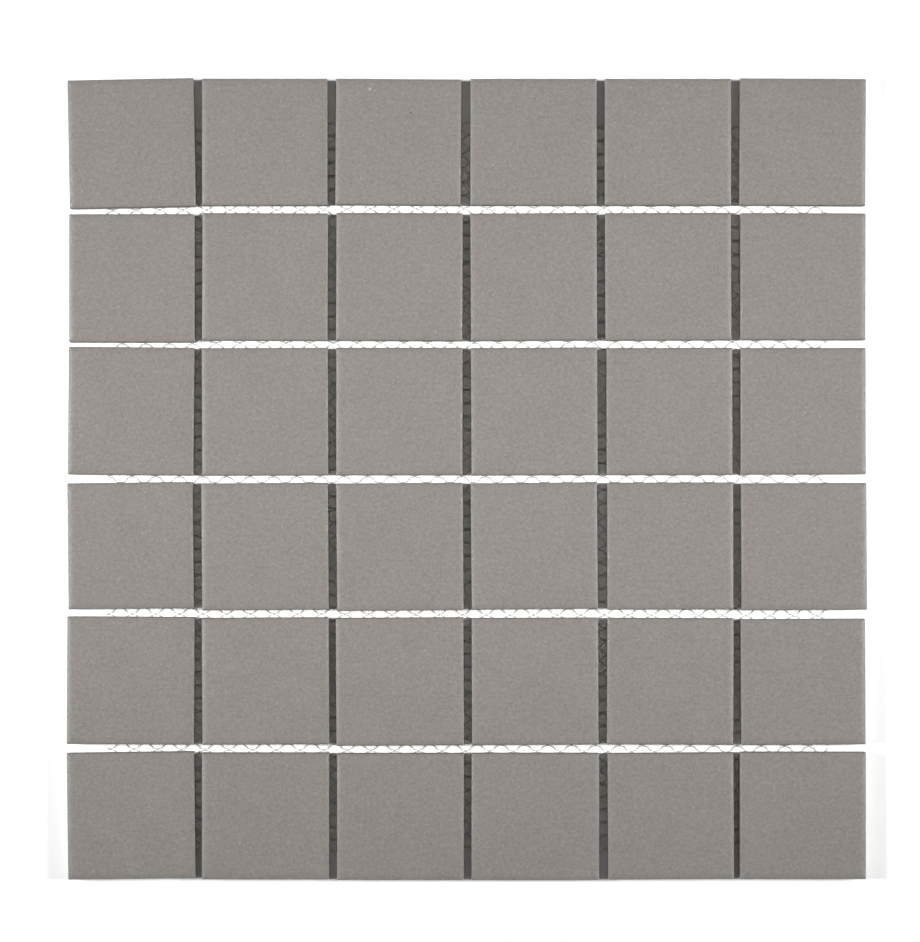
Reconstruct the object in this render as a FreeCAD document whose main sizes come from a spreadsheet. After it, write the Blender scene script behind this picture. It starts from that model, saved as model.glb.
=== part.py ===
import FreeCAD, Part
import math
import os
import Sketcher
from FreeCAD import Placement, Rotation, Vector

# A net-backed sheet of square unglazed porcelain mosaic tiles, lying face up.
# x runs to the right, y up the sheet and z upwards, from the middle of the underside.

# Sizes in millimetres, with the lean in degrees and the smallest hole in square millimetres
SIZES = {
    "tile_side": 48,
    "tile_thickness": 6,
    "cushion_width": 1.6,
    "cushion_drop": 0.5,
    "arris": 0.5,
    "column_joint": 3,
    "row_joint": 3.15,
    "row_stagger": 0.1,
    "net_side": 276,
    "net_drop": 4,
    "net_thickness": 0.4,
    "mesh_pitch_across": 8.93,
    "mesh_pitch_along": 5.09,
    "mesh_thread": 0.45,
    "mesh_lean": 4.3,
    "mesh_shift_right": 2.7,
    "mesh_shift_up": 0.6,
    "mesh_smallest_hole": 5,
    "mesh_shortest_side": 0.8,
}
TILES_A_SIDE = 6

# Tiles that were laid out of line: row and column, shift right, shift up, turn to the left
OUT_OF_LINE = {
    (1, 1): (0.5, -0.5, 1.1),
    (1, 3): (-0.3, 0.0, -0.4),
    (1, 6): (0.1, 0.0, -0.3),
    (2, 1): (0.5, -0.5, 0.0),
    (2, 2): (0.0, 0.0, -0.2),
    (2, 3): (0.0, 0.0, -0.2),
    (2, 4): (0.0, 0.0, 0.3),
    (2, 5): (0.0, 0.1, 0.2),
    (2, 6): (0.1, 0.1, -0.1),
    (3, 1): (0.1, 0.2, -0.5),
    (3, 2): (-0.1, 0.0, 0.2),
    (3, 3): (-0.1, 0.1, 0.0),
    (3, 4): (0.1, 0.1, 0.3),
    (3, 5): (0.4, 0.1, 0.1),
    (3, 6): (0.1, 0.2, 0.1),
    (4, 1): (-0.2, 0.3, 0.6),
    (4, 2): (-0.2, 0.0, 0.4),
    (4, 3): (0.0, -0.1, 0.4),
    (4, 4): (0.0, 0.2, 0.5),
    (4, 5): (0.6, 0.2, 0.1),
    (4, 6): (0.3, 0.0, 0.3),
    (5, 1): (-0.3, 0.3, -0.3),
    (5, 2): (-0.1, 0.1, 0.3),
    (5, 3): (-0.1, -0.1, 0.3),
    (5, 4): (0.2, 0.0, 0.2),
    (5, 5): (0.5, 0.0, -0.2),
    (5, 6): (-0.1, -0.2, 0.3),
    (6, 1): (-0.2, 0.2, 0.7),
    (6, 2): (-0.2, 0.0, 0.0),
    (6, 3): (0.0, -0.2, 0.0),
    (6, 4): (0.2, -0.2, 0.0),
    (6, 5): (0.6, 0.0, 0.3),
    (6, 6): (-0.3, 0.2, 0.0),
}

# Tiles that came out of the kiln off size: row and column, wider, longer
OFF_SIZE = {
    (1, 1): (-0.2, 0.7),
    (1, 2): (-0.4, 0.1),
    (1, 3): (-0.4, -0.2),
    (1, 6): (-0.2, 0.1),
    (2, 1): (-0.4, 0.6),
    (2, 2): (-0.3, 0.3),
    (2, 3): (0.0, 0.5),
    (2, 4): (0.0, 0.3),
    (2, 5): (-0.1, 0.3),
    (2, 6): (-0.5, 0.1),
    (3, 1): (-0.4, 0.5),
    (3, 2): (-0.1, 0.4),
    (3, 3): (0.0, 0.4),
    (3, 4): (0.0, 0.4),
    (3, 5): (-0.2, 0.2),
    (3, 6): (-0.5, 0.0),
    (4, 1): (-0.5, -0.1),
    (4, 2): (0.1, 0.2),
    (4, 3): (0.1, 0.4),
    (4, 5): (-0.1, 0.2),
    (4, 6): (-0.4, 0.2),
    (5, 1): (0.2, 0.4),
    (5, 2): (0.2, 0.1),
    (5, 3): (0.5, 0.5),
    (5, 4): (0.1, 0.2),
    (5, 6): (-0.8, -0.3),
    (6, 1): (0.3, 0.0),
    (6, 2): (0.3, 0.0),
    (6, 3): (0.2, 0.1),
    (6, 4): (0.5, 0.2),
    (6, 5): (-0.2, -0.1),
    (6, 6): (-0.2, 0.2),
}

doc = FreeCAD.newDocument("mosaic_tile_sheet")
sheet = doc.addObject("Spreadsheet::Sheet", "Sizes")
for row, (name, value) in enumerate(SIZES.items(), start=1):
    sheet.set(f"A{row}", name)
    sheet.set(f"B{row}", str(value))
    sheet.setAlias(f"B{row}", name)
doc.recompute()


def base_plane(body):
    """The body's own horizontal plane."""
    for feature in body.Origin.OriginFeatures:
        if feature.Role == "XY_Plane":
            return feature
    raise RuntimeError("no horizontal plane in " + body.Label)


def add_outline(body, wider, longer):
    """A tile's outline about the body's origin, its sides taken from the sheet."""
    sketch = body.newObject("Sketcher::SketchObject", "Outline")
    sketch.AttachmentSupport = [(base_plane(body), "")]
    sketch.MapMode = "FlatFace"
    half_x = (sheet.tile_side + wider) / 2
    half_y = (sheet.tile_side + longer) / 2
    corners = [
        Vector(-half_x, -half_y, 0),
        Vector(half_x, -half_y, 0),
        Vector(half_x, half_y, 0),
        Vector(-half_x, half_y, 0),
    ]
    for index in range(4):
        sketch.addGeometry(Part.LineSegment(corners[index], corners[(index + 1) % 4]), False)
    for index in range(4):
        sketch.addConstraint(Sketcher.Constraint("Coincident", index, 2, (index + 1) % 4, 1))
    sketch.addConstraint(Sketcher.Constraint("Horizontal", 0))
    sketch.addConstraint(Sketcher.Constraint("Vertical", 1))
    sketch.addConstraint(Sketcher.Constraint("Horizontal", 2))
    sketch.addConstraint(Sketcher.Constraint("Vertical", 3))
    sketch.addConstraint(Sketcher.Constraint("Symmetric", 0, 1, 1, 2, -1, 1))
    for line, label, extra in ((0, "width", wider), (1, "depth", longer)):
        constraint = sketch.addConstraint(Sketcher.Constraint("Distance", line, sheet.tile_side + extra))
        sketch.renameConstraint(constraint, label)
        sketch.setExpression("Constraints." + label, f"Sizes.tile_side + {extra}")
    return sketch


def add_tile(row, column):
    """One tile: a square slab, placed in its row and column."""
    wider, longer = OFF_SIZE.get((row, column), (0.0, 0.0))
    shift_right, shift_up, turn = OUT_OF_LINE.get((row, column), (0.0, 0.0, 0.0))
    body = doc.addObject("PartDesign::Body", f"tile_r{row}_c{column}")
    body.Label = f"tile_r{row}_c{column}"
    slab = body.newObject("PartDesign::Pad", "Slab")
    slab.Profile = add_outline(body, wider, longer)
    slab.setExpression("Length", "Sizes.tile_thickness")
    across = column - (TILES_A_SIDE + 1) / 2
    down = row - (TILES_A_SIDE + 1) / 2
    body.Placement = Placement(Vector(0, 0, 0), Rotation(Vector(0, 0, 1), turn))
    body.setExpression(
        "Placement.Base.x",
        f"{across} * (Sizes.tile_side + Sizes.column_joint) + {down} * Sizes.row_stagger + {shift_right}",
    )
    body.setExpression(
        "Placement.Base.y",
        f"{-down} * (Sizes.tile_side + Sizes.row_joint) + {shift_up}",
    )
    body.setExpression("Placement.Base.z", "Sizes.net_thickness")
    return body


def ring_at(shape, height):
    """The names of a solid's level edges at one height."""
    names = []
    for index, edge in enumerate(shape.Edges, start=1):
        ends = edge.BoundBox
        if abs(ends.ZMin - height) < 0.001 and abs(ends.ZMax - height) < 0.001:
            names.append(f"Edge{index}")
    return names


def add_cushion(body):
    """The shallow slope round the tile's face, as the press leaves it."""
    slab = body.Tip
    cushion = body.newObject("PartDesign::Chamfer", "Cushion")
    cushion.Base = (slab, ring_at(slab.Shape, sheet.tile_thickness))
    cushion.ChamferType = "Two distances"
    cushion.setExpression("Size", "Sizes.cushion_drop")
    cushion.setExpression("Size2", "Sizes.cushion_width")


def add_arris(body):
    """The steeper edge between the cushion and the tile's sides."""
    cushion = body.Tip
    arris = body.newObject("PartDesign::Chamfer", "Arris")
    arris.Base = (cushion, ring_at(cushion.Shape, sheet.tile_thickness - sheet.cushion_drop))
    arris.setExpression("Size", "Sizes.arris")


# The tiles, row by row from the top left

tiles = []
for row in range(1, TILES_A_SIDE + 1):
    for column in range(1, TILES_A_SIDE + 1):
        tiles.append(add_tile(row, column))
doc.recompute()
for tile in tiles:
    add_cushion(tile)
doc.recompute()
for tile in tiles:
    add_arris(tile)
doc.recompute()


# The net: a thin sheet under all the tiles, open between its threads where it crosses the joints.
# Behind the tiles the adhesive fills the mesh, so the sheet is closed there.

def rectangle(left, right, bottom, top):
    """A flat rectangular face."""
    points = [
        Vector(left, bottom, 0),
        Vector(right, bottom, 0),
        Vector(right, top, 0),
        Vector(left, top, 0),
        Vector(left, bottom, 0),
    ]
    return Part.Face(Part.makePolygon(points))


def mesh_hole(x, y, reach_x, reach_y, lean):
    """A six-sided hole between threads, about a point, with two sides level."""
    points = []
    for corner in range(7):
        angle = math.radians(60 * corner)
        along = reach_y * math.sin(angle)
        points.append(Vector(x + reach_x * math.cos(angle) - lean * along, y + along, 0))
    return Part.Face(Part.makePolygon(points))


def few_sided(face, shortest):
    """The same hole with corners that lie closer than the shortest side made one."""
    points = [vertex.Point for vertex in face.OuterWire.OrderedVertexes]
    while len(points) > 4:
        sides = [points[index].distanceToPoint(points[index - 1]) for index in range(len(points))]
        index = sides.index(min(sides))
        if sides[index] >= shortest:
            break
        points[index] = (points[index] + points[index - 1]) * 0.5
        del points[index - 1]
    return Part.Face(Part.makePolygon(points + points[:1]))


def joint_middles(joint):
    """How far from the sheet's middle the joints of one direction lie."""
    return [(index - TILES_A_SIDE / 2) * (sheet.tile_side + joint) for index in range(1, TILES_A_SIDE)]


def joint_grid(half_net, centre_y):
    """The joints between the tiles as one face, as far as the net reaches."""
    strips = []
    for x in joint_middles(sheet.column_joint):
        half = sheet.column_joint / 2
        strips.append(rectangle(x - half, x + half, centre_y - half_net, centre_y + half_net))
    for y in joint_middles(sheet.row_joint):
        half = sheet.row_joint / 2
        strips.append(rectangle(-half_net, half_net, y - half, y + half))
    return strips[0].fuse(strips[1:]).removeSplitter()


def net_shape():
    """The net with its holes, from its underside up."""
    half_net = sheet.net_side / 2
    centre_y = -sheet.net_drop
    step_x = sheet.mesh_pitch_across
    step_y = sheet.mesh_pitch_along
    lean = math.tan(math.radians(sheet.mesh_lean))
    open_share = 1 - sheet.mesh_thread / step_y
    reach_x = step_x / 3 * open_share
    reach_y = step_y / math.sqrt(3) * open_share
    near_x = sheet.column_joint / 2 + reach_x
    near_y = sheet.row_joint / 2 + step_y / 2
    inside_x = half_net - sheet.mesh_thread - reach_x - lean * reach_y
    inside_y = half_net - sheet.mesh_thread - step_y / 2
    column_joints = joint_middles(sheet.column_joint)
    row_joints = joint_middles(sheet.row_joint)
    columns = math.ceil(half_net / step_x * (1 + lean)) + 1
    rows = math.ceil(half_net / step_y) + 1
    holes = []
    for index_y in range(-2 * rows, 2 * rows + 1):
        offset_y = index_y * step_y / 2 + sheet.mesh_shift_up
        if abs(offset_y) > inside_y:
            continue
        y = centre_y + offset_y
        level = any(abs(y - joint) < near_y for joint in row_joints)
        for index_x in range(-2 * columns, 2 * columns + 1):
            if (index_x - index_y) % 2:
                continue
            x = index_x * step_x / 2 - lean * offset_y + sheet.mesh_shift_right
            upright = any(abs(x - joint) < near_x for joint in column_joints)
            if abs(x) < inside_x and (level or upright):
                holes.append(mesh_hole(x, y, reach_x, reach_y, lean))
    clipped = Part.makeCompound(holes).common(joint_grid(half_net, centre_y))
    kept = []
    for face in clipped.Faces:
        if face.Area > sheet.mesh_smallest_hole:
            kept.append(few_sided(face, sheet.mesh_shortest_side))
    plain = rectangle(-half_net, half_net, centre_y - half_net, centre_y + half_net)
    netting = plain.cut(Part.makeCompound(kept))
    return netting.Faces[0].extrude(Vector(0, 0, sheet.net_thickness))


net = doc.addObject("Part::Feature", "backing_net")
net.Label = "backing_net"
net.Shape = net_shape()
net.Placement = Placement(Vector(0, 0, 0), Rotation())
doc.recompute()

# Everything is checked before it is written

pieces = tiles + [net]
for item in doc.Objects:
    if "Invalid" in item.State or "Error" in item.State:
        raise RuntimeError("could not be built: " + item.Label)
for piece in pieces:
    if piece.Shape.isNull() or not piece.Shape.isValid():
        raise RuntimeError("no valid solid: " + piece.Label)
    if len(piece.Shape.Solids) != 1:
        raise RuntimeError("not one solid: " + piece.Label)

os.makedirs("parts", exist_ok=True)
for piece in pieces:
    piece.Shape.exportStep(f"parts/{piece.Label}.step")
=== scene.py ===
import math

import bmesh
import bpy
from mathutils import Matrix, Vector


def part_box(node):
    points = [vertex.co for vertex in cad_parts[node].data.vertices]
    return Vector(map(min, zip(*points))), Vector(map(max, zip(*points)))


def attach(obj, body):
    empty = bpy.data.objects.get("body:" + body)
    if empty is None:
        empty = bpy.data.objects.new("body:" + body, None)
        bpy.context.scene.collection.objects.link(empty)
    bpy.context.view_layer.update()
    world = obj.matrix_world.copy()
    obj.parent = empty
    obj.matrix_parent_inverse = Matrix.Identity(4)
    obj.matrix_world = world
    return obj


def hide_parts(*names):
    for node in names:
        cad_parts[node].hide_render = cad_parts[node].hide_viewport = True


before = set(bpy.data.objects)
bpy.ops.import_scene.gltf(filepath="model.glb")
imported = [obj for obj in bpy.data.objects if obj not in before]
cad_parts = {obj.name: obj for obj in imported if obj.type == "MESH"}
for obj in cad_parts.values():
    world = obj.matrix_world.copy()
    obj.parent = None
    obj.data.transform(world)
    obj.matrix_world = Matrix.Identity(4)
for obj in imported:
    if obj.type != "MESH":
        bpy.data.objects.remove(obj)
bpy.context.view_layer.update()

# A net-backed sheet of square unglazed porcelain mosaic tiles, lying face up on a pale floor.
# Lengths are in metres unless a name ends in _MM.

MM = 0.001
TILES_A_SIDE = 6

# Tile: its corners in plan, rounded in steps, and its edge from the back to the flat face as
# (inset, height) pairs
TILE_THICKNESS_MM = 6.0
CORNER_RADIUS_MM = 0.3
LEAST_RADIUS_MM = 0.12
CORNER_STEPS = 4
EDGE_PROFILE_MM = [
    (0.45, 0.00),
    (0.14, 0.10),
    (0.00, 0.42),
    (0.00, 4.95),
    (0.12, 5.20),
    (0.30, 5.40),
    (0.58, 5.54),
    (0.95, 5.69),
    (1.40, 5.84),
    (1.90, 5.94),
    (2.45, 5.985),
    (3.10, 6.00),
]

# Porcelain: powder grains, clumps of them and faint clouds, each with its size, detail,
# roughness and share in the tone, then how far apart stray light grains lie
GRAIN_LAYERS_MM = [
    (0.606, 2.0, 0.55, 0.55),
    (1.316, 1.0, 0.50, 0.33),
    (11.76, 2.0, 0.50, 0.12),
]
STRAY_GRAINS_MM = 2.0
# A white speck with a fainter one beside it, and a pinhole's painted shade as a dark spot with no
# hole, in one tile of the upper row: place across and up the sheet, reach and colour
SPECKS_AND_PINHOLE_SHADE_MM = [
    ((-36.82, 147.82), 0.62, "#CFCAC4"),
    ((-34.70, 147.37), 0.36, "#BDB8B2"),
    # painted shade: the pinhole is only this dark colour, the face has no hole
    ((-21.24, 138.91), 0.48, "#5A5653"),
]

# Net: two threads lie side by side at each rung and part again between the rungs
NET_SIDE_MM = 276.0
NET_THICKNESS_MM = 0.4
MESH_ACROSS_MM = 8.97
MESH_ALONG_MM = 5.107
MESH_LEAN_DEGREES = 4.43
# The thread nearest the sheet's middle, how many pairs lie below it, and how many there are
# in all under the topmost thread
MESH_START_MM = (2.54, -2.91)
PAIRS_BELOW = 28
PAIRS = 55
# A thread's width and height, its bundles of filaments, and its points in each wave
THREAD_MM = (0.37, 0.30)
FILAMENTS_MM = 0.2
WAVE_POINTS = 6
# Where in a wave a thread leaves one rung and reaches the next
THREAD_TURN = (0.137, 0.363)
# How far a thread is made to each side, as a share of the net, before it is bent and cut
THREAD_REACH = 0.55
# The net isn't laid quite straight: below this height it swings to the right and closes up,
# growing with the square of the way down, and it is drawn out a little towards the corners
BEND_START_MM = 35.6
BEND_PER_M = (0.12, 0.14)
DRAW_PER_M = (-0.057, 0.050)

FACE_HEIGHT = (TILE_THICKNESS_MM + NET_THICKNESS_MM) * MM

# Photograph: pixels across and down, the scale on the tile faces, where the sheet's middle
# and the camera's axis are, and the camera's height over the tile faces
PHOTO_SIZE = (920, 942)
PIXELS_PER_MM = 2.638
SHEET_MIDDLE_PX = (467.0, 479.1)
AXIS_PX = (465.0, 515.0)
CAMERA_HEIGHT = 1.25
FILM_WIDTH_MM = 36.0

# Paper under the sheet: its colour as it lights the tiles and as the camera sees it, which is
# overexposed, how far from the middle it turns to plain white, and how far it reaches
PAPER = (0.88, 0.88, 0.87, 1.0)
PAPER_SEEN = (1.92, 1.95, 1.94, 1.0)
PAPER_FADE = (0.15, 0.176)
PAPER_REACH = 4.0

# Softboxes: their side, how wide their grids let the light out, and how far above the sheet's
# middle they are aimed, so that the last rows lie in the edge of their light
SOFTBOX_SIDE = 0.36
SOFTBOX_SPREAD_DEGREES = 41.5
LIT_Y = 0.042
# The light that the room adds from all round
ROOM_LIGHT = 0.02


def linear(code, alpha=1.0):
    """A colour written as sRGB hex digits, as linear values."""
    parts = [int(code[index:index + 2], 16) / 255 for index in (1, 3, 5)]
    parts = [part / 12.92 if part <= 0.04045 else ((part + 0.055) / 1.055) ** 2.4 for part in parts]
    return (*parts, alpha)


def cells(size_mm):
    """How many pattern cells of a size lie along a metre."""
    return 1 / (size_mm * MM)


def add(tree, kind, inputs=None, **settings):
    """Adds a node with its settings. An input given as a socket is linked, any other is set."""
    node = tree.nodes.new(kind)
    for name, value in settings.items():
        setattr(node, name, value)
    for name, value in (inputs or {}).items():
        if isinstance(value, bpy.types.NodeSocket):
            tree.links.new(value, node.inputs[name])
        else:
            node.inputs[name].default_value = value
    return node


def new_material(name):
    """An empty node material."""
    material = bpy.data.materials.new(name)
    material.use_nodes = True
    material.node_tree.nodes.clear()
    return material


def porcelain_material():
    """Unglazed porcelain, dry-pressed from fine powder and fired: matt, a warm grey,
    with a fine salt-and-pepper grain, faint soft clouds and a slightly sandy skin."""
    material = new_material("unglazed pressed porcelain")
    tree = material.node_tree
    place = add(tree, "ShaderNodeTexCoord").outputs["Object"]
    layers = []
    tone = 0.0
    for size, detail, roughness, weight in GRAIN_LAYERS_MM:
        layer = add(tree, "ShaderNodeTexNoise", {
            "Vector": place, "Scale": cells(size), "Detail": detail, "Roughness": roughness,
        })
        layers.append(layer.outputs["Fac"])
        tone = add(tree, "ShaderNodeMath", {
            0: layer.outputs["Fac"], 1: weight, 2: tone,
        }, operation="MULTIPLY_ADD").outputs[0]
    grain = layers[0]
    colour = add(tree, "ShaderNodeMix", {
        "Factor": tone, "A": linear("#6D6866"), "B": linear("#B9B3AD"),
    }, data_type="RGBA")
    # Of the stray light grains few are clear, and few reach the skin
    stray = add(tree, "ShaderNodeTexVoronoi", {"Vector": place, "Scale": cells(STRAY_GRAINS_MM)})
    kind = add(tree, "ShaderNodeSeparateColor", {"Color": stray.outputs["Color"]})
    clear = add(tree, "ShaderNodeMapRange", {
        "Value": kind.outputs["Red"],
        "From Min": 0.7, "From Max": 1.0, "To Min": 0.0, "To Max": 0.42,
    })
    size = add(tree, "ShaderNodeMapRange", {
        "Value": stray.outputs["Distance"],
        "From Min": 0.08, "From Max": 0.19, "To Min": 1.0, "To Max": 0.0,
    })
    share = add(tree, "ShaderNodeMath", {
        0: clear.outputs["Result"], 1: size.outputs["Result"],
    }, operation="MULTIPLY")
    colour = add(tree, "ShaderNodeMix", {
        "Factor": share.outputs[0], "A": colour.outputs["Result"], "B": linear("#DAD5CE"),
    }, data_type="RGBA")
    # The specks' own colours, and the dark spot of painted shade for the pinhole
    for (across, up), reach, code in SPECKS_AND_PINHOLE_SHADE_MM:
        away = add(tree, "ShaderNodeVectorMath", {
            0: place, 1: (across * MM, up * MM, FACE_HEIGHT),
        }, operation="DISTANCE")
        share = add(tree, "ShaderNodeMapRange", {
            "Value": away.outputs["Value"],
            "From Min": 0.4 * reach * MM, "From Max": reach * MM, "To Min": 1.0, "To Max": 0.0,
        })
        colour = add(tree, "ShaderNodeMix", {
            "Factor": share.outputs["Result"], "A": colour.outputs["Result"], "B": linear(code),
        }, data_type="RGBA")
    # The lighter grains are a little glassy and glint along the edges that face a lamp
    rough = add(tree, "ShaderNodeMapRange", {
        "Value": grain, "From Min": 0.35, "From Max": 0.65, "To Min": 0.7, "To Max": 0.36,
    })
    bump = add(tree, "ShaderNodeBump", {"Height": grain, "Strength": 0.35, "Distance": 0.04 * MM})
    skin = add(tree, "ShaderNodeBsdfPrincipled", {
        "Base Color": colour.outputs["Result"],
        "Roughness": rough.outputs["Result"],
        "Normal": bump.outputs["Normal"],
        "IOR": 1.5,
    })
    add(tree, "ShaderNodeOutputMaterial", {"Surface": skin.outputs["BSDF"]})
    return material


def thread_material():
    """White synthetic yarn with a stiffening coat: matt, nearly even, with faint grey
    unevenness along each thread."""
    material = new_material("coated netting yarn")
    tree = material.node_tree
    place = add(tree, "ShaderNodeTexCoord").outputs["Object"]
    fibre = add(tree, "ShaderNodeTexNoise", {
        "Vector": place, "Scale": cells(FILAMENTS_MM), "Detail": 2.0,
    }).outputs["Fac"]
    colour = add(tree, "ShaderNodeMix", {
        "Factor": fibre, "A": linear("#D8D7D3"), "B": linear("#ECEBE7"),
    }, data_type="RGBA")
    bump = add(tree, "ShaderNodeBump", {"Height": fibre, "Strength": 0.4, "Distance": 0.05 * MM})
    coat = add(tree, "ShaderNodeBsdfPrincipled", {
        "Base Color": colour.outputs["Result"],
        "Normal": bump.outputs["Normal"],
        "Roughness": 0.6,
        "IOR": 1.46,
    })
    add(tree, "ShaderNodeOutputMaterial", {"Surface": coat.outputs["BSDF"]})
    return material


def seen_or_mirrored(tree):
    """1 where the camera sees a surface directly, mirrored or through glass, and 0 where the
    surface only lights others."""
    path = add(tree, "ShaderNodeLightPath").outputs
    seen = path["Is Camera Ray"]
    for kind in ("Is Glossy Ray", "Is Transmission Ray"):
        seen = add(tree, "ShaderNodeMath", {0: seen, 1: path[kind]}, operation="MAXIMUM").outputs[0]
    straight = add(tree, "ShaderNodeMath", {
        0: path["Diffuse Depth"], 1: 0.5,
    }, operation="LESS_THAN").outputs[0]
    return add(tree, "ShaderNodeMath", {0: seen, 1: straight}, operation="MULTIPLY").outputs[0]


def paper_material():
    """White backdrop paper: matt and even, nearly white to the camera, with shadows kept."""
    material = new_material("white backdrop paper")
    tree = material.node_tree
    seen = seen_or_mirrored(tree)
    colour = add(tree, "ShaderNodeMix", {
        "Factor": seen, "A": PAPER, "B": PAPER_SEEN,
    }, data_type="RGBA")
    paper = add(tree, "ShaderNodeBsdfDiffuse", {"Color": colour.outputs["Result"]})
    # From the sheet's edges outwards the shadow fades and the paper runs on white
    place = add(tree, "ShaderNodeTexCoord").outputs["Object"]
    reach = add(tree, "ShaderNodeVectorMath", {0: place}, operation="ABSOLUTE")
    sides = add(tree, "ShaderNodeSeparateXYZ", {"Vector": reach.outputs["Vector"]})
    away = add(tree, "ShaderNodeMath", {
        0: sides.outputs["X"], 1: sides.outputs["Y"],
    }, operation="MAXIMUM")
    far = add(tree, "ShaderNodeMapRange", {
        "Value": away.outputs[0], "From Min": PAPER_FADE[0], "From Max": PAPER_FADE[1],
    }, interpolation_type="SMOOTHSTEP")
    share = add(tree, "ShaderNodeMath", {0: far.outputs["Result"], 1: seen}, operation="MULTIPLY")
    white = add(tree, "ShaderNodeEmission", {"Strength": 1.0})
    ground = add(tree, "ShaderNodeMixShader", {
        0: share.outputs[0], 1: paper.outputs[0], 2: white.outputs[0],
    })
    add(tree, "ShaderNodeOutputMaterial", {"Surface": ground.outputs[0]})
    return material


def finish_piece(piece, node):
    """Hangs a piece on the root body and hides the solid in its place."""
    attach(piece, "root")
    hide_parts(node)


def tile_place(node):
    """A tile's half width and half length, and where its back lies and how it is turned,
    all read from its solid's lowest corners."""
    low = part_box(node)[0]
    corners = [v.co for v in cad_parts[node].data.vertices if v.co.z < low.z + 1e-5]
    upper_right = max(corners, key=lambda point: point.x + point.y)
    upper_left = max(corners, key=lambda point: point.y - point.x)
    lower_right = max(corners, key=lambda point: point.x - point.y)
    across = upper_right - upper_left
    halves = (across.length / 2, (upper_right - lower_right).length / 2)
    turn = Matrix.Rotation(math.atan2(across.y, across.x), 4, "Z")
    return halves, Matrix.Translation((upper_left + lower_right) / 2) @ turn


def tile_outline(halves, inset):
    """The tile's plan outline, drawn in by an inset."""
    radius = max(CORNER_RADIUS_MM * MM - inset, LEAST_RADIUS_MM * MM)
    reach_x, reach_y = (half - inset - radius for half in halves)
    points = []
    for corner, (side_x, side_y) in enumerate(((1, 1), (-1, 1), (-1, -1), (1, -1))):
        for step in range(CORNER_STEPS + 1):
            angle = (CORNER_STEPS * corner + step) * math.pi / (2 * CORNER_STEPS)
            points.append((
                side_x * reach_x + radius * math.cos(angle),
                side_y * reach_y + radius * math.sin(angle),
            ))
    return points


def make_tile(node, material):
    """One pressed tile: a slab with a soft cushion edge round its face."""
    shape = bmesh.new()
    halves, place = tile_place(node)
    rings = []
    for inset, height in EDGE_PROFILE_MM:
        outline = tile_outline(halves, inset * MM)
        rings.append([shape.verts.new((x, y, height * MM)) for x, y in outline])
    count = len(rings[0])
    for lower, upper in zip(rings, rings[1:]):
        for index in range(count):
            after = (index + 1) % count
            shape.faces.new((lower[index], lower[after], upper[after], upper[index]))
    back = shape.faces.new(rings[0][::-1])
    shape.faces.new(rings[-1])
    for side in shape.faces:
        side.smooth = side != back
    shape.transform(place)
    mesh = bpy.data.meshes.new(node)
    shape.to_mesh(mesh)
    shape.free()
    mesh.materials.append(material)
    tile = bpy.data.objects.new("porcelain_" + node, mesh)
    bpy.context.scene.collection.objects.link(tile)
    finish_piece(tile, node)


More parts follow.
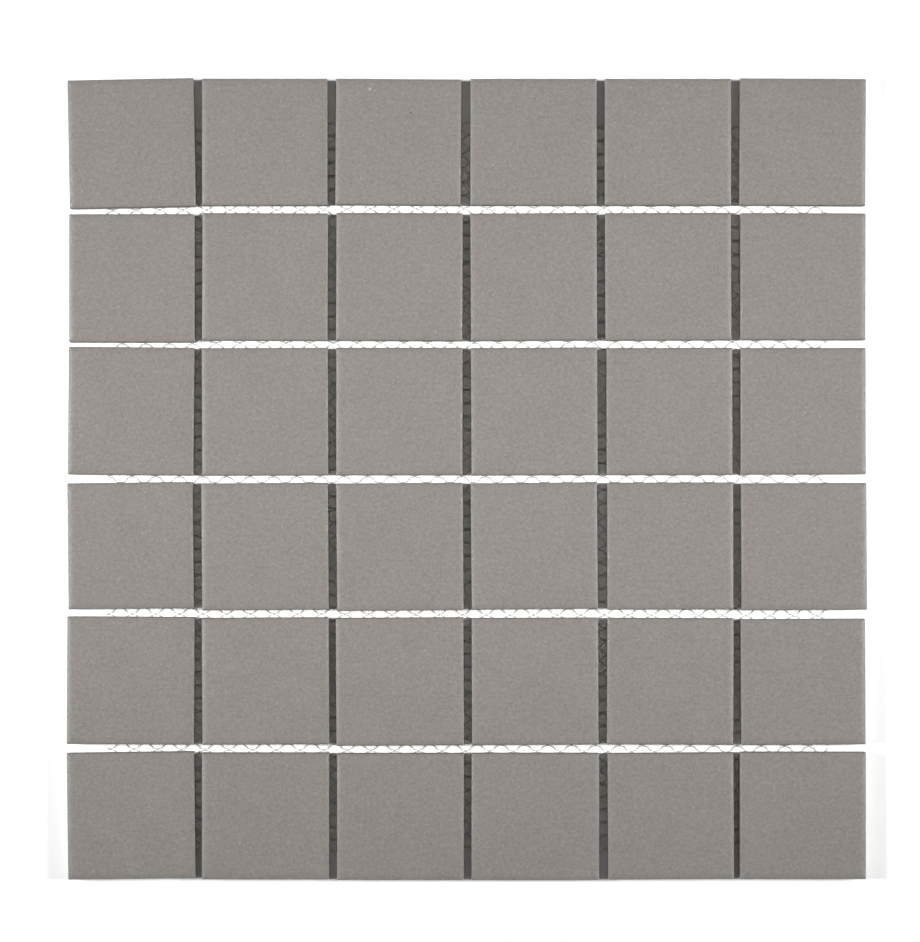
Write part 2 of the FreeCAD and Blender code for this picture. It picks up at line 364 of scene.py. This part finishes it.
def net_tree(material):
    """Geometry nodes for the net: one waved thread and its neighbour, half a wave along so
    that the two meet at the rungs, laid up the sheet as pairs, bent as the real net lies and
    cut at the sides."""
    tree = bpy.data.node_groups.new("backing net", "GeometryNodeTree")
    tree.is_modifier = True
    inputs = {
        "NodeSocketGeometry": ("Geometry",),
        "NodeSocketInt": ("Points", "Threads", "Neighbours"),
        "NodeSocketFloat": (
            "Half wave", "Turn start", "Turn end", "Crest", "Dip",
            "Thread width", "Thread height", "Bend start", "Reach",
        ),
        "NodeSocketVector": (
            "Thread start", "Point step", "Neighbour", "First pair", "Pair step", "Bend", "Draw",
        ),
    }
    for kind, names in inputs.items():
        for name in names:
            tree.interface.new_socket(name, in_out="INPUT", socket_type=kind)
    tree.interface.new_socket("Geometry", in_out="OUTPUT", socket_type="NodeSocketGeometry")
    given = add(tree, "NodeGroupInput").outputs
    position = add(tree, "GeometryNodeInputPosition").outputs[0]
    spot = add(tree, "ShaderNodeSeparateXYZ", {"Vector": position}).outputs

    # One thread: nearly level along a rung, then steeply over to the other side
    line = add(tree, "GeometryNodeMeshLine", {
        "Count": given["Points"],
        "Start Location": given["Thread start"],
        "Offset": given["Point step"],
    })
    phase = add(tree, "ShaderNodeMath", {0: spot["X"], 1: given["Half wave"]}, operation="PINGPONG")
    wave = add(tree, "ShaderNodeMapRange", {
        "Value": phase.outputs[0],
        "From Min": given["Turn start"], "From Max": given["Turn end"],
        "To Min": given["Crest"], "To Max": given["Dip"],
    })
    sway = add(tree, "ShaderNodeCombineXYZ", {"Y": wave.outputs["Result"]})
    waved = add(tree, "GeometryNodeSetPosition", {
        "Geometry": line.outputs[0], "Offset": sway.outputs[0],
    })
    thread = add(tree, "GeometryNodeMeshToCurve", {"Mesh": waved.outputs[0]})

    # Its neighbour, and both laid up the sheet in turn
    neighbour = add(tree, "GeometryNodeTransform", {
        "Geometry": thread.outputs[0], "Translation": given["Neighbour"],
    })
    laid = add(tree, "GeometryNodeJoinGeometry")
    for count, strand in (("Threads", thread), ("Neighbours", neighbour)):
        places = add(tree, "GeometryNodeMeshLine", {
            "Count": given[count],
            "Start Location": given["First pair"],
            "Offset": given["Pair step"],
        })
        copies = add(tree, "GeometryNodeInstanceOnPoints", {
            "Points": places.outputs[0], "Instance": strand.outputs[0],
        })
        tree.links.new(copies.outputs[0], laid.inputs[0])
    loose = add(tree, "GeometryNodeRealizeInstances", {"Geometry": laid.outputs[0]})

    # Bent as it was laid
    below = add(tree, "ShaderNodeMath", {
        0: given["Bend start"], 1: spot["Y"],
    }, operation="SUBTRACT")
    depth = add(tree, "ShaderNodeMath", {0: below.outputs[0], 1: 0.0}, operation="MAXIMUM")
    square = add(tree, "ShaderNodeMath", {
        0: depth.outputs[0], 1: depth.outputs[0],
    }, operation="MULTIPLY")
    cross = add(tree, "ShaderNodeMath", {0: spot["X"], 1: spot["Y"]}, operation="MULTIPLY")
    swing = add(tree, "ShaderNodeVectorMath", {
        0: square.outputs[0], 1: given["Bend"],
    }, operation="MULTIPLY")
    drift = add(tree, "ShaderNodeVectorMath", {
        0: cross.outputs[0], 1: given["Draw"], 2: swing.outputs[0],
    }, operation="MULTIPLY_ADD")
    bent = add(tree, "GeometryNodeSetPosition", {
        "Geometry": loose.outputs[0], "Offset": drift.outputs[0],
    })

    # Cut at the net's sides and given its thickness
    width = add(tree, "ShaderNodeMath", {0: spot["X"]}, operation="ABSOLUTE")
    outside = add(tree, "ShaderNodeMath", {
        0: width.outputs[0], 1: given["Reach"],
    }, operation="GREATER_THAN")
    cut = add(tree, "GeometryNodeDeleteGeometry", {
        "Geometry": bent.outputs[0], "Selection": outside.outputs[0],
    }, domain="POINT")
    section = add(tree, "GeometryNodeCurvePrimitiveQuadrilateral", {
        "Width": given["Thread width"], "Height": given["Thread height"],
    })
    tube = add(tree, "GeometryNodeCurveToMesh", {
        "Curve": cut.outputs[0], "Profile Curve": section.outputs[0], "Fill Caps": True,
    })
    smooth = add(tree, "GeometryNodeSetShadeSmooth", {"Geometry": tube.outputs[0]})
    plain = add(tree, "GeometryNodeRealizeInstances", {"Geometry": smooth.outputs[0]})
    dressed = add(tree, "GeometryNodeSetMaterial", {
        "Geometry": plain.outputs[0], "Material": material,
    })
    add(tree, "NodeGroupOutput", {"Geometry": dressed.outputs[0]})
    return tree


def net_sizes():
    """The net tree's inputs: one wave to a mesh width, and two threads to a mesh height."""
    wave = MESH_ACROSS_MM * MM
    rise = MESH_ALONG_MM * MM / 2
    width, height = (size * MM for size in THREAD_MM)
    crest = (rise - width) / 2
    lean = math.tan(math.radians(MESH_LEAN_DEGREES))
    waves = math.ceil(THREAD_REACH * NET_SIDE_MM / MESH_ACROSS_MM)
    down = 2 * rise * PAIRS_BELOW
    start_x, start_y = (start * MM for start in MESH_START_MM)
    return {
        "Points": 2 * WAVE_POINTS * waves + 1,
        "Threads": PAIRS + 1,
        "Neighbours": PAIRS,
        "Half wave": wave / 2,
        "Turn start": THREAD_TURN[0] * wave,
        "Turn end": THREAD_TURN[1] * wave,
        "Crest": crest,
        "Dip": -crest,
        "Thread width": width,
        "Thread height": height,
        "Reach": NET_SIDE_MM * MM / 2,
        "Thread start": (-waves * wave, 0.0, height / 2),
        "Point step": (wave / WAVE_POINTS, 0.0, 0.0),
        "Neighbour": (-wave / 2 - lean * rise, rise, 0.0),
        "First pair": (start_x + lean * down, start_y - down, 0.0),
        "Pair step": (-2 * lean * rise, 2 * rise, 0.0),
        "Bend start": BEND_START_MM * MM,
        "Bend": (*BEND_PER_M, 0.0),
        "Draw": (*DRAW_PER_M, 0.0),
    }


def make_net(material):
    """The backing net, as one plain mesh."""
    maker = bpy.data.objects.new("net_maker", bpy.data.meshes.new("net_maker"))
    bpy.context.scene.collection.objects.link(maker)
    modifier = maker.modifiers.new("net", "NODES")
    tree = net_tree(material)
    modifier.node_group = tree
    sizes = net_sizes()
    for socket in tree.interface.items_tree:
        if socket.in_out == "INPUT" and socket.name in sizes:
            modifier[socket.identifier] = sizes[socket.name]
    evaluated = maker.evaluated_get(bpy.context.evaluated_depsgraph_get())
    mesh = bpy.data.meshes.new_from_object(evaluated)
    bpy.data.objects.remove(maker)
    mesh.name = "net"
    net = bpy.data.objects.new("netting", mesh)
    bpy.context.scene.collection.objects.link(net)
    finish_piece(net, "backing_net")


def make_floor():
    """A level floor of paper well past the sheet."""
    mesh = bpy.data.meshes.new("floor")
    sides = ((-1, -1), (1, -1), (1, 1), (-1, 1))
    corners = [(PAPER_REACH * x, PAPER_REACH * y, 0.0) for x, y in sides]
    mesh.from_pydata(corners, [], [(0, 1, 2, 3)])
    mesh.materials.append(paper_material())
    floor = bpy.data.objects.new("floor", mesh)
    bpy.context.scene.collection.objects.link(floor)


def make_lamp(name, place, power):
    """A gridded softbox, aimed a little above the sheet's middle."""
    lamp = bpy.data.lights.new(name, "AREA")
    lamp.shape = "SQUARE"
    lamp.size = SOFTBOX_SIDE
    lamp.spread = math.radians(SOFTBOX_SPREAD_DEGREES)
    lamp.energy = power
    holder = bpy.data.objects.new(name, lamp)
    holder.location = place
    aim = Vector((0, LIT_Y, 0)) - holder.location
    holder.rotation_euler = aim.to_track_quat("-Z", "Y").to_euler()
    holder.visible_camera = False
    bpy.context.scene.collection.objects.link(holder)


def make_world():
    """A little even light from all round, and white where it is seen past the floor."""
    world = bpy.data.worlds.new("studio")
    world.use_nodes = True
    tree = world.node_tree
    tree.nodes.clear()
    strength = add(tree, "ShaderNodeMapRange", {
        "Value": seen_or_mirrored(tree), "To Min": ROOM_LIGHT, "To Max": 1.0,
    })
    sky = add(tree, "ShaderNodeBackground", {
        "Color": (1.0, 1.0, 1.0, 1.0), "Strength": strength.outputs["Result"],
    })
    add(tree, "ShaderNodeOutputWorld", {"Surface": sky.outputs["Background"]})
    bpy.context.scene.world = world


def make_camera():
    """Looks straight down from over the photograph's own axis."""
    longest = max(PHOTO_SIZE)
    data = bpy.data.cameras.new("camera")
    data.sensor_width = FILM_WIDTH_MM
    data.lens = PIXELS_PER_MM * CAMERA_HEIGHT / MM / longest * FILM_WIDTH_MM
    data.shift_x = (PHOTO_SIZE[0] / 2 - AXIS_PX[0]) / longest
    data.shift_y = (AXIS_PX[1] - PHOTO_SIZE[1] / 2) / longest
    data.clip_start = 0.01
    data.clip_end = 20.0
    camera = bpy.data.objects.new("camera", data)
    camera.location = (
        (AXIS_PX[0] - SHEET_MIDDLE_PX[0]) / PIXELS_PER_MM * MM,
        (SHEET_MIDDLE_PX[1] - AXIS_PX[1]) / PIXELS_PER_MM * MM,
        FACE_HEIGHT + CAMERA_HEIGHT,
    )
    bpy.context.scene.collection.objects.link(camera)
    bpy.context.scene.camera = camera


# The sheet

porcelain = porcelain_material()
for row in range(1, TILES_A_SIDE + 1):
    for column in range(1, TILES_A_SIDE + 1):
        make_tile(f"tile_r{row}_c{column}", porcelain)
make_net(thread_material())

# The room round it

make_floor()
make_lamp("softbox left", (-1.3, LIT_Y, 0.8), 1.146)
make_lamp("softbox right", (1.3, LIT_Y, 0.8), 1.065)
make_lamp("softbox above", (0.0, LIT_Y, 1.4), 0.0125)
make_world()
make_camera()
bpy.context.scene.view_settings.view_transform = "Standard"
